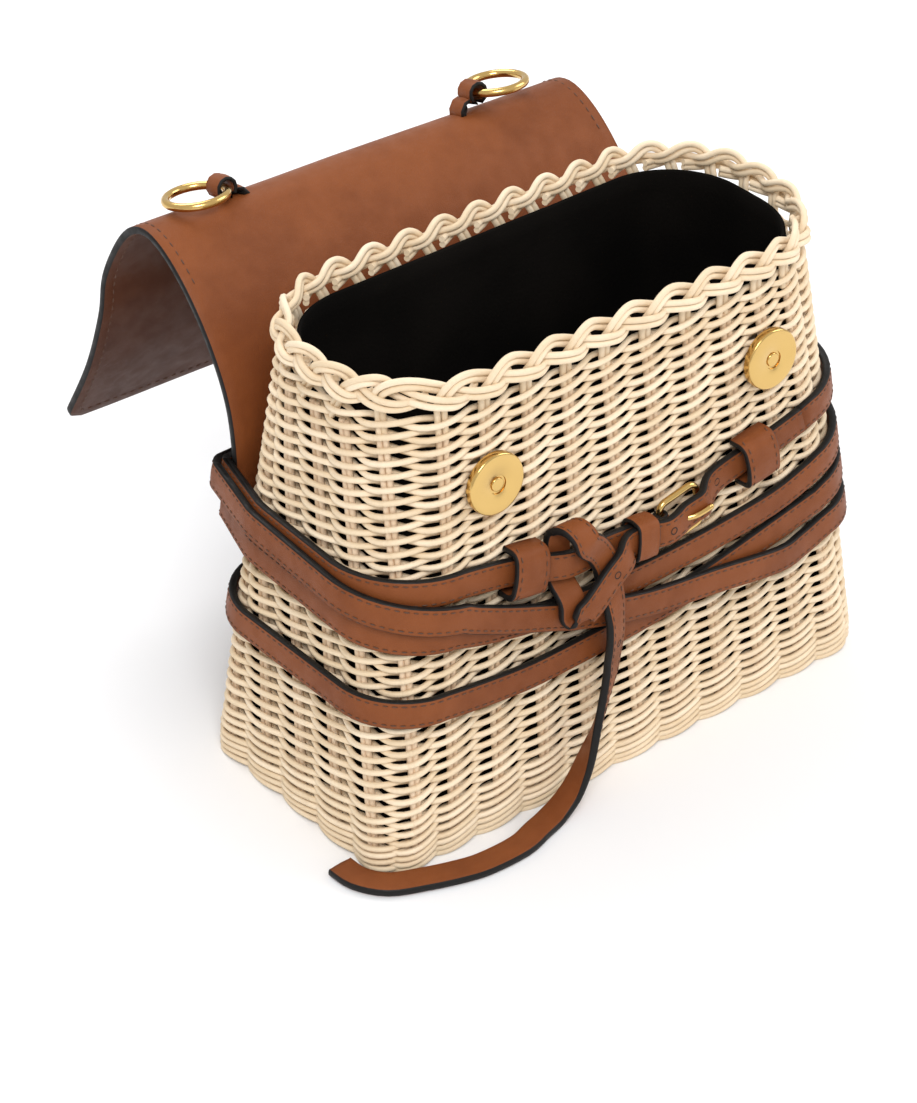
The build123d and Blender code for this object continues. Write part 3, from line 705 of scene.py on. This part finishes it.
def wound_turn(front, corners, over_flap):
    """One turn: across the front, then round the left, back and right of the wall."""
    run = smooth([on_front(*point) for point in front], 4)[:-1]
    for corner in range(4):
        (z_in, layer_in), (z_out, layer_out) = corners[corner]
        for step in range(13):
            share = step / 12
            place, out = hull_point(corner, share, z_in + (z_out - z_in) * share, over_flap)
            layer = layer_in + (layer_out - layer_in) * share
            run.append((place + out * (strap_gap + layer * layer_step), out))
        if corner < 3:
            (z_next, layer_next), after = corners[corner + 1]
            for step in range(1, 6):
                share = step / 6
                z = z_out + (z_next - z_out) * share
                layer = layer_out + (layer_next - layer_out) * share
                first, out = hull_point(corner, 1.0, z, over_flap)
                last, out = hull_point(corner + 1, 0.0, z, over_flap)
                run.append((first.lerp(last, share) + out * (strap_gap + layer * layer_step), out))
    return run


turn_fronts = [
    [(heel_x - 1.9, heel_z, heel_out), (-12, 94.0, heel_out), (-22, 94.9, 4.4), (-33, 96.3, 6.2),
     (-39.5, 97.5, 5.4), (-44, 98.5, 4.3), (-50.5, 99.9, 3.2), (-60, 101.5, 2.0), (-73.6, 103.8, strap_gap)],
    [(77.8, 84.2, strap_gap), (60, 79.2, strap_gap), (30, 76.4, strap_gap), (0, 75.4, strap_gap),
     (-30, 76.4, strap_gap), (-60, 81.4, strap_gap), (-77.5, 86.3, strap_gap)],
    [(80.5, 71.6, strap_gap), (60, 67.5, strap_gap), (30, 61.8, strap_gap), (0, 58.8, strap_gap),
     (-40, 57.4, strap_gap), (-60, 58.4, strap_gap), (-82.8, 61.2, strap_gap)],
    [(83.1, 59.6, strap_gap), (73, 57.9, 3.2), (60, 57.5, outer_gap), (30, 61.9, outer_gap),
     (0, 66, outer_gap), (-27, 73.2, outer_gap), (-40, 78.2, outer_gap), (-60, 86.0, outer_gap),
     (-76, 93.2, outer_gap)]]
turn_corners = [
    [((103.8, 0), (104.5, 0)), ((106, 0), (106, 0)), ((96, 0), (94, 0)), ((90.5, 0), (85, 0))],
    [((86.3, 0), (90.3, 0)), ((92, 0), (91.5, 0)), ((81, 0), (79, 0)), ((77, 0), (72.5, 0))],
    [((61.3, 0), (62, 0)), ((61.5, 0), (61.5, 0)), ((60.5, 0), (60.5, 0)), ((60.8, 0), (60.2, 0))],
    [((93.5, 1), (101.5, 1)), ((104, 1), (104.5, 1)), ((107.5, 1), (108.5, 0)), ((110, 0), (107.5, 0))]]
end_front = [(72.9, 106.6, strap_gap), (60, 103.6, strap_gap), (50, 102.1, strap_gap),
             (40, 100.4, strap_gap), (33, 98.6, 2.0), (28.5, 97.3, 4.0), (bar_x, 96.2, 7.2),
             (20.5, 95.2, 7.1), (16.5, 94.2, 6.9), (12.5, 93.4, 7.9), (heel_x, 92.8, 8.4),
             (5.5, 92.6, 7.9), (2, 92.8, 7.1), (-8, 93.6, 7.0),
             (-13.5, 91.3, 10.4), (-20, 87, 10.9), (-28, 81.3, 11.7)]
end_fold = front_fold(-32.0, -35.0, 79.0, 10.15, 1.55, 0, 180, 4)
back_way = (0, 0, -1)
end_behind = [(-35, 83.3, 8.55, back_way), (-35, 85.9, 6.9, back_way), (-35, 88.4, 4.0, back_way),
              (-35, 91.2, 2.1, back_way), (-35, 95, strap_gap, back_way)]
end_top = front_fold(-35.0, -30.5, 105.0, 7.0, 5.2, 180, 360, 6)
tail_turn = (0.42, 0, 0.91)
end_tail = [(-26.5, 101.5, 10.8), (-22.5, 96.5, 8.7), (-19.5, 91, 7.5), (-18.3, 85, 7.5),
            (-18, 77, 9.6, (0.25, 0, 0.97)), (-18, 70, 10.4, tail_turn), (-18, 63, 10.2, tail_turn),
            (-17.7, 55, 8.4, tail_turn), (-17.6, 47, 6.8, (0.5, 0, 0.87)), (-20.3, 37, 6.3, (0.65, 0, 0.76))]
down = Vector((0, 0, -1))
floor_level = 1.5
tail_fall = [((-25.8, -58.4, 26), (0.8, -0.6, 0)), ((-30.3, -58, 14.5), (0.95, -0.3, -0.1)),
             ((-35.8, -58.2, 6.4), (0.75, -0.1, -0.65)), ((-44, -59.2, 1.8), (0.1, 0, -1))]
tail_lie = [(-53, -61.6), (-62.8, -64.2), (-77.5, -63.9), (-87.5, -61.4), (-98, -57.4), (-108.6, -52.2),
            (-114.4, -43.8), (-115.4, -35)]
tail_floor = [(Vector(place), Vector(facing)) for place, facing in tail_fall]
tail_floor += [(Vector((x, y, floor_level)), down) for x, y in tail_lie]
belt_run = []
for front, corners, over_flap in zip(turn_fronts, turn_corners, (True, True, False, True)):
    if belt_run:
        belt_run.pop()
    belt_run += wound_turn(front, corners, over_flap)
belt_run.pop()
free_start = len(belt_run)
loose = [on_front(*point) for point in end_front + end_fold + end_behind + end_top + end_tail]
belt_run += smooth(loose + tail_floor, 4)
belt_rows = squared(belt_run)
wound = band("belt_wound", belt_rows[:free_start + 1], strap_width, strap_thickness)
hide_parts("belt_turn_1", "belt_turn_2", "belt_turn_3", "belt_turn_4")
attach(wound, "basket")
free = band("belt_free_end", belt_rows[free_start:], strap_width, strap_thickness)
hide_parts("belt_end")
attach(free, "basket")
belt_thread = stitches("belt_stitches", edge_seams(belt_rows, strap_width, strap_thickness))
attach(belt_thread, "basket")

strap_eye = []
eye_place, eye_out = on_front(heel_x, heel_z, heel_out)
buckle_across = (on_front(bar_x, bar_z, bar_out)[0] - eye_place).normalized()
buckle_out = (front_out - buckle_across * front_out.dot(buckle_across)).normalized()
buckle_up = buckle_out.cross(buckle_across)
for side in (-1, 1):
    for step in range(13):
        angle = tau * step / 12
        facing = buckle_across * cos(angle) + buckle_out * sin(angle)
        strap_eye.append((eye_place + facing * 2.1 + buckle_up * side * 3.4, facing))
for side, name in ((0, "strap_fold_low"), (1, "strap_fold_high")):
    fold = band(name, squared(strap_eye[side * 13:side * 13 + 12], True), 3.1, 1.4, True, 0.7)
    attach(fold, "basket")

# Round punched holes along the free end, about 27 mm apart: small near-black dishes, painted shade in the
# holes.
hole_shade_shader = Shader("punched hole painted shade")
hole_place = hole_shade_shader.node("ShaderNodeTexCoord", "Object")
hole_shade_shader.put("Base Color", hole_shade_shader.mix(hole_shade_shader.noise(hole_place, 800.0), rgb(0.006, 0.004, 0.003),
                                              rgb(0.02, 0.012, 0.008)))
hole_shade_shader.put("Roughness", 0.8)
verts, faces = [], []
travelled, index = 0.0, free_start
for distance in (14.0, 40.5, 67.0, 96.0, 122.0, 187.0, 214.0, 241.0, 268.0, 295.0, 322.0, 349.0):
    while travelled < distance and index < len(belt_rows) - 2:
        index += 1
        travelled += (belt_rows[index][0] - belt_rows[index - 1][0]).length
    place, along, face, sideways = belt_rows[index]
    start = len(verts)
    for radius, depth in ((1.45, 0.0), (1.3, 0.12), (1.05, 0.02), (0.9, -0.25)):
        for step in range(12):
            angle = tau * step / 12
            verts.append(place + along * radius * cos(angle) + sideways * radius * sin(angle)
                         + face * (strap_thickness / 2 + 0.12 + depth))
    for level in range(3):
        for step in range(12):
            after = (step + 1) % 12
            low = start + level * 12
            faces.append((low + step, low + after, low + 12 + after, low + 12 + step))
    faces.append([start + 36 + step for step in range(12)])
holes = mesh_piece("belt_holes", verts, faces, [hole_shade_shader.material])
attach(holes, "basket")


# Belt loops: broad leather bands sewn to the wall at top and bottom; the belt passes under.
def loop_rows(x, z, tilt, inner, proud):
    """Rows of a C-shaped band standing out from the front wall."""
    turn = Quaternion(front_out, radians(tilt))
    centre = on_front(x, z, 0)[0]
    high = turn @ front_up
    reach, corner = inner / 2 + 1.1, 3.2
    points = [(-reach, 0.2), (-reach, proud - corner - 1.1)]
    points += [(-reach + corner * (1 - cos(radians(a))), proud - 1.1 - corner * (1 - sin(radians(a))))
               for a in (15, 30, 45, 60, 75, 90)]
    points += [(-reach + corner + (2 * reach - 2 * corner) * share, proud - 1.1 + 0.5 * sin(pi * share))
               for share in (0.25, 0.5, 0.75)]
    points += [(-v, o) for v, o in reversed(points[:8])]
    run = []
    for index, (v, o) in enumerate(points):
        before, after = points[max(index - 1, 0)], points[min(index + 1, len(points) - 1)]
        facing = high * (before[1] - after[1]) + front_out * (after[0] - before[0])
        run.append((centre + high * v + front_out * o, facing))
    return squared(run)


for name, x, z, tilt in (("left", -50.5, 99.9, -9.5), ("right", 50.0, 102.1, 9.0)):
    rows = loop_rows(x, z, tilt, 13.6, 8.6)
    loop = band("belt_loop_band_" + name, rows, 14.0, 2.2)
    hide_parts("belt_loop_" + name)
    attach(loop, "basket")
    seam = stitches("belt_loop_stitches_" + name, edge_seams(rows[2:-2], 14.0, 2.2, 1.9))
    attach(seam, "basket")


# Keeper: plain closed leather ring that slides on the belt beside the buckle.
keeper_turn = Quaternion(front_out, radians(-4.6))
keeper_up = keeper_turn @ front_up
keeper_centre = on_front(-2.5, 93.15, 2.0 + 3.45)[0]
keeper_run = []
half_v, half_o, keeper_corner = 5.7 + 0.75, 3.45 + 0.75, 2.2
for corner, (sign_v, sign_o) in enumerate(((1, 1), (-1, 1), (-1, -1), (1, -1))):
    for step in range(7):
        angle = radians(90 * corner + 15 * step)
        facing = keeper_up * cos(angle) + front_out * sin(angle)
        middle = (keeper_up * sign_v * (half_v - keeper_corner)
                  + front_out * sign_o * (half_o - keeper_corner))
        keeper_run.append((keeper_centre + middle + facing * keeper_corner, facing))
    next_v, next_o = ((-1, 1), (-1, -1), (1, -1), (1, 1))[corner]
    last = keeper_run[-1]
    following = (keeper_up * next_v * (half_v - keeper_corner)
                 + front_out * next_o * (half_o - keeper_corner) + last[1] * keeper_corner)
    for share in (0.33, 0.67):
        place = last[0].lerp(keeper_centre + following, share)
        keeper_run.append((place + last[1] * 0.35 * sin(pi * share), last[1]))
keeper = band("keeper_ring", squared(keeper_run, True), 9.0, 1.5, True, 1.0)
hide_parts("keeper")
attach(keeper, "keeper")


# Gold hardware: cast and polished, with a light brush left by handling.
gold_shader = Shader("polished gold")
gold_place = gold_shader.node("ShaderNodeTexCoord", "Object")
gold_wear = gold_shader.noise(gold_place, 60.0, 3.0)
gold_fine = gold_shader.noise(gold_place, 900.0, 3.0, 0.6)
gold_shader.put("Base Color", gold_shader.mix(gold_wear, rgb(0.70, 0.47, 0.17), rgb(0.63, 0.41, 0.14)))
gold_shader.put("Metallic", 1.0)
gold_shader.put("Roughness", (gold_wear * 0.6 + gold_fine * 0.4).ramp(0.3, 0.7, 0.13, 0.26))
gold_shader.bump(gold_fine, 0.00005, 0.3)
gold = gold_shader.material

span = (on_front(bar_x, bar_z, bar_out)[0] - eye_place).length
frame_corner, frame_half = 3.0, 5.0
frame_corners = ((span - frame_corner, frame_half), (frame_corner, frame_half),
                 (frame_corner, -frame_half), (span - frame_corner, -frame_half))
frame_path = []
for corner, (cx, cy) in enumerate(frame_corners):
    for step in range(5):
        angle = radians(90 * corner + 22.5 * step)
        frame_path.append(eye_place + buckle_across * (cx + frame_corner * cos(angle))
                          + buckle_up * (cy + frame_corner * sin(angle)))
buckle = strands("buckle_wire", [frame_path], [1.2], gold, 12, True)
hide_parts("buckle_frame")
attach(buckle, "basket")
prong_points = [(1.6, 0.0), (3.0, 0.2), (4.4, 0.7), (6.2, 2.2), (8.0, 4.0), (9.8, 5.1), (11.5, 5.6),
                (14.0, 5.85), (span + 0.5, 5.9)]
prong_path = [eye_place + buckle_across * x + buckle_out * w for x, w in prong_points]
prong_ring = []
for step in range(12):
    angle = tau * step / 12
    prong_ring.append(eye_place + (buckle_across * cos(angle) + buckle_out * sin(angle)) * 1.95)
prong_body = strands("prong_pin", [prong_path], [1.05], gold, 10)
tip_ball = prong_path[-1]
verts, faces = [], []
for row in range(7):
    lift = -pi / 2 + pi * row / 6
    for step in range(12):
        turn = tau * step / 12
        verts.append(tip_ball + buckle_across * 1.15 * cos(lift) * cos(turn)
                     + buckle_up * 1.15 * cos(lift) * sin(turn) + buckle_out * 1.05 * sin(lift))
for row in range(6):
    for step in range(12):
        after = (step + 1) % 12
        faces.append((row * 12 + step, row * 12 + after, row * 12 + 12 + after, row * 12 + 12 + step))
prong_tip = mesh_piece("prong_tip", verts, faces, [gold])
prong_eye = strands("prong_eye", [prong_ring], [0.75], gold, 8, True)
for piece in (prong_body, prong_tip, prong_eye):
    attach(piece, "basket")
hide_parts("buckle_prong")


def turned_piece(name, centre, axis, profile, material, sides=64):
    """Piece turned about an axis from (radius, height) points."""
    spin = axis.normalized()
    start = spin.orthogonal().normalized()
    side = spin.cross(start)
    verts, faces = [], []
    for radius, height in profile:
        for step in range(sides):
            angle = tau * step / sides
            verts.append(centre + spin * height + (start * cos(angle) + side * sin(angle)) * radius)
    for row in range(len(profile) - 1):
        for step in range(sides):
            after = (step + 1) % sides
            low = row * sides
            faces.append((low + step, low + after, low + sides + after, low + sides + step))
    faces.append(list(reversed(range(sides))))
    faces.append([(len(profile) - 1) * sides + step for step in range(sides)])
    made = mesh_piece(name, verts, faces, [material])
    made.data.set_sharp_from_angle(angle=radians(38))
    return made


# Magnetic snaps: bevelled gold discs riveted to the front wall, each with a turned ring
# round its raised middle.
snap_offset, snap_height = 59.0, 135.0
disc_profile = [(2.0, -3.0), (10.2, 0.0), (10.7, 0.15), (10.75, 0.5), (10.75, 2.45), (10.62, 2.75),
                (10.35, 2.95), (9.9, 3.0), (3.45, 3.0), (3.3, 2.9), (3.2, 2.35), (2.9, 2.25), (2.5, 2.3),
                (2.35, 2.85), (2.2, 2.98), (1.9, 3.02), (0.4, 3.02)]
for name, x in (("left", -snap_offset), ("right", snap_offset)):
    snap_seat = on_front(x, snap_height, 0.0)[0]
    disc = turned_piece("snap_" + name, snap_seat, front_out, disc_profile, gold)
    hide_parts("snap_disc_" + name)
    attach(disc, "basket")


# Flap: one piece of two-ply leather, sewn flat to the back wall under the belt, rising above
# it, turned over its ridge and hanging behind. Black painted edges, one line of stitches.
wall_points = [(0, base_depth / 2 - side_lean * z + 1.8, z) for z in (72.0, 92.0, 112.0)]
flap_points = wall_points + [(0, 50.8, 133.0), (0, 62, 153), (0, 78, 168.5), (0, 93, 174), (0, 106, 166.5),
                             (0, 119, 146), (0, 123.5, 128), (0, 134, 102), (0, 151, 73)]
flap_places = smooth_line([Vector(point) for point in flap_points], 8)
flap_run = [0.0]
for before, after in zip(flap_places, flap_places[1:]):
    flap_run.append(flap_run[-1] + (after - before).length)
flap_length = flap_run[-1]
flap_corner, root_chamfer = 6.0, 14.0


def flap_at(x, distance, lift):
    """Point of the flap: across it, along it from its lower end, and out from its middle."""
    distance = min(max(distance, 0.0), flap_length)
    index = max(i for i in range(len(flap_run)) if flap_run[i] <= distance)
    index = min(index, len(flap_run) - 2)
    share = (distance - flap_run[index]) / (flap_run[index + 1] - flap_run[index])
    place = flap_places[index].lerp(flap_places[index + 1], share)
    before, after = flap_places[max(index - 1, 0)], flap_places[min(index + 2, len(flap_places) - 1)]
    along = (after - before).normalized()
    out = Vector((0, -along.z, along.y))
    free = min(1.0, max(0.0, (distance - 75.0) / 60.0))
    ripple = 0.5 * noise.noise(Vector((x * 0.02, distance * 0.02, 1.0)))
    sag = -2.2 * free * (x / flap_half) + ripple * free
    return place + out * lift + Vector((x, 0, sag))


along_steps, across_steps = 96, 40
flap_half_thick = 1.3
verts, faces, indices = [], [], []
grid = {}
for layer, lift in ((0, flap_half_thick), (1, -flap_half_thick)):
    for i in range(along_steps + 1):
        distance = flap_length * i / along_steps
        from_end = flap_length - distance
        short = max(0.0, flap_corner - from_end)
        pull = flap_corner - (flap_corner ** 2 - short ** 2) ** 0.5
        half = flap_half - 0.4 - pull - max(0.0, root_chamfer - distance) * 0.9
        for j in range(across_steps + 1):
            x = half * (2 * j / across_steps - 1)
            grid[layer, i, j] = len(verts)
            verts.append(flap_at(x, distance, lift) + Vector((flap_middle, 0, 0)))
for i in range(along_steps):
    for j in range(across_steps):
        faces.append((grid[0, i, j], grid[0, i, j + 1], grid[0, i + 1, j + 1], grid[0, i + 1, j]))
        faces.append((grid[1, i, j], grid[1, i + 1, j], grid[1, i + 1, j + 1], grid[1, i, j + 1]))
        indices += [0, 2]
rim = [(i, 0) for i in range(along_steps + 1)]
rim += [(along_steps, j) for j in range(1, across_steps + 1)]
rim += [(i, across_steps) for i in range(along_steps - 1, -1, -1)]
rim += [(0, j) for j in range(across_steps - 1, 0, -1)]
middle_of_flap = Vector((flap_middle, 0, 0))
edge_ids = []
for i, j in rim:
    top, bottom = Vector(verts[grid[0, i, j]]), Vector(verts[grid[1, i, j]])
    centre = (top + bottom) / 2
    inner_i = min(max(i, 1), along_steps - 1)
    inner_j = min(max(j, 1), across_steps - 1)
    inner = (Vector(verts[grid[0, inner_i, inner_j]]) + Vector(verts[grid[1, inner_i, inner_j]])) / 2
    edge_ids.append(len(verts))
    away = (centre - inner).normalized() * 0.375
    verts.append(top.lerp(centre, 0.35) + away)
    verts.append(bottom.lerp(centre, 0.35) + away)
for step in range(len(rim)):
    after = (step + 1) % len(rim)
    a, b = rim[step], rim[after]
    faces.append((grid[0, a[0], a[1]], grid[0, b[0], b[1]], edge_ids[after], edge_ids[step]))
    faces.append((edge_ids[step], edge_ids[after], edge_ids[after] + 1, edge_ids[step] + 1))
    faces.append((edge_ids[step] + 1, edge_ids[after] + 1, grid[1, b[0], b[1]], grid[1, a[0], a[1]]))
    indices += [1, 1, 1]
# Material 2, on the inner face, is the leather with painted shade.
flap = mesh_piece("leather_flap", verts, faces, [leather, edge_paint, inner_leather_painted_shade], indices)
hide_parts("flap", "flap_root")
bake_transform(flap)

seam_inset, seam_start, seam_step = 4.0, 100.0, 4.0
seam_half = flap_half - seam_inset
seam_rows = [seam_start + step * seam_step for step in range(64)
             if seam_start + step * seam_step < flap_length - 2 * seam_inset]
flap_seams = []
for lift in (flap_half_thick, -flap_half_thick):
    line = [flap_at(-seam_half, distance, lift) for distance in seam_rows]
    for step in range(41):
        distance = flap_length - seam_inset - (step in (0, 40)) * 1.2
        line.append(flap_at(-seam_half + seam_half * 2 * step / 40, distance, lift))
    line += [flap_at(seam_half, distance, lift) for distance in reversed(seam_rows)]
    flap_seams.append([place + middle_of_flap for place in line])
flap_thread = stitches("flap_stitches", flap_seams, 3.6, 2.5, 0.6)
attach(flap_thread, "flap")


# Rings and tabs: a small leather tab comes up through the ridge and folds round a gold
# ring, so that a shoulder strap can be hooked on.
ridge_tilt = radians(12.0)
lift = Vector((0, sin(ridge_tilt), cos(ridge_tilt)))
ring_radius = 10.4
for side, name, tab_x in ((-1, "left", -52.5), (1, "right", 41.0)):
    origin = Vector((tab_x, 96.0, 173.6)) + lift * 1.4
    out_x = Vector((side, 0, 0))
    eye = origin + out_x * 7.0 + lift * 4.6
    run = []
    for v, w in ((0.0, -3.0), (0.0, -0.5)):
        run.append((origin + out_x * v + lift * w, -out_x))
    run.append((origin + out_x * 1.2 + lift * 1.3, -out_x + lift))
    for step in range(11):
        angle = radians(-110 - 320 * step / 10)
        facing = out_x * cos(angle) + lift * sin(angle)
        run.append((eye + facing * 3.45, facing))
    run.append((origin + out_x * 2.6 + lift * 3.0, lift))
    run.append((origin + out_x * 0.9 + lift * 2.6, -out_x + lift))
    run.append((origin - out_x * 0.9 + lift * 0.2, -out_x))
    run.append((origin - out_x * 1.0 - lift * 3.0, -out_x))
    tab = band("tab_" + name, squared(run), 7.6, 1.5, False, 0.9)
    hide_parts("ring_tab_" + name)
    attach(tab, "flap")
    ring_side = out_x.cross(lift)
    ring_path = []
    for step in range(48):
        angle = tau * step / 48
        ring_path.append(eye + out_x * (ring_radius + ring_radius * cos(angle))
                         + ring_side * ring_radius * sin(angle))
    ring = strands("ring_wire_" + name, [ring_path], [1.5], gold, 14, True)
    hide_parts("ring_" + name)
    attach(ring, "ring_" + name)


# Base and hidden pieces: the woven floor and the snap washers keep their modelled shape, and two
# steel magnets lie closed in between the plies of the flap, above its free edge.
base_shader = Shader("woven floor")
base_place = base_shader.node("ShaderNodeTexCoord", "Object")
base_rows = base_shader.node("ShaderNodeTexWave", 1,
                             {"Vector": base_place, "Scale": 110.0, "Distortion": 1.2, "Detail": 2.0},
                             bands_direction="Y")
# The dark bands between the rows are painted shade in the grooves of the weave.
base_shader.put("Base Color", base_shader.mix(base_rows, rgb(0.40, 0.27, 0.14), rgb(0.80, 0.66, 0.45)))
base_shader.put("Roughness", 0.55)
base_shader.bump(base_rows, 0.0012, 0.8)
steel_shader = Shader("plain steel")
steel_place = steel_shader.node("ShaderNodeTexCoord", "Object")
steel_grain = steel_shader.noise(steel_place, 500.0)
steel_shader.put("Base Color", rgb(0.5, 0.5, 0.5))
steel_shader.put("Metallic", 1.0)
steel_shader.put("Roughness", steel_grain.ramp(0.3, 0.7, 0.3, 0.5))
magnet_radius, magnet_thickness, magnet_from_edge = 6.0, 1.2, 19.0
for name in ("left", "right"):
    low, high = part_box("flap_magnet_" + name)
    magnet_x = (low[0] + high[0]) * 500.0 - flap_middle
    magnet_low, magnet_high = (flap_at(magnet_x, flap_length - magnet_from_edge, lift) + middle_of_flap
                               for lift in (-magnet_thickness / 2, magnet_thickness / 2))
    magnet = turned_piece("magnet_" + name, magnet_low, magnet_high - magnet_low,
                          [(magnet_radius, 0.0), (magnet_radius, magnet_thickness)], steel_shader.material)
    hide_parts("flap_magnet_" + name)
    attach(magnet, "flap")
for node, material in (("basket_base", base_shader.material), ("snap_washer_left", steel_shader.material),
                       ("snap_washer_right", steel_shader.material)):
    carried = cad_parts[node]
    carried.data.materials.clear()
    carried.data.materials.append(material)
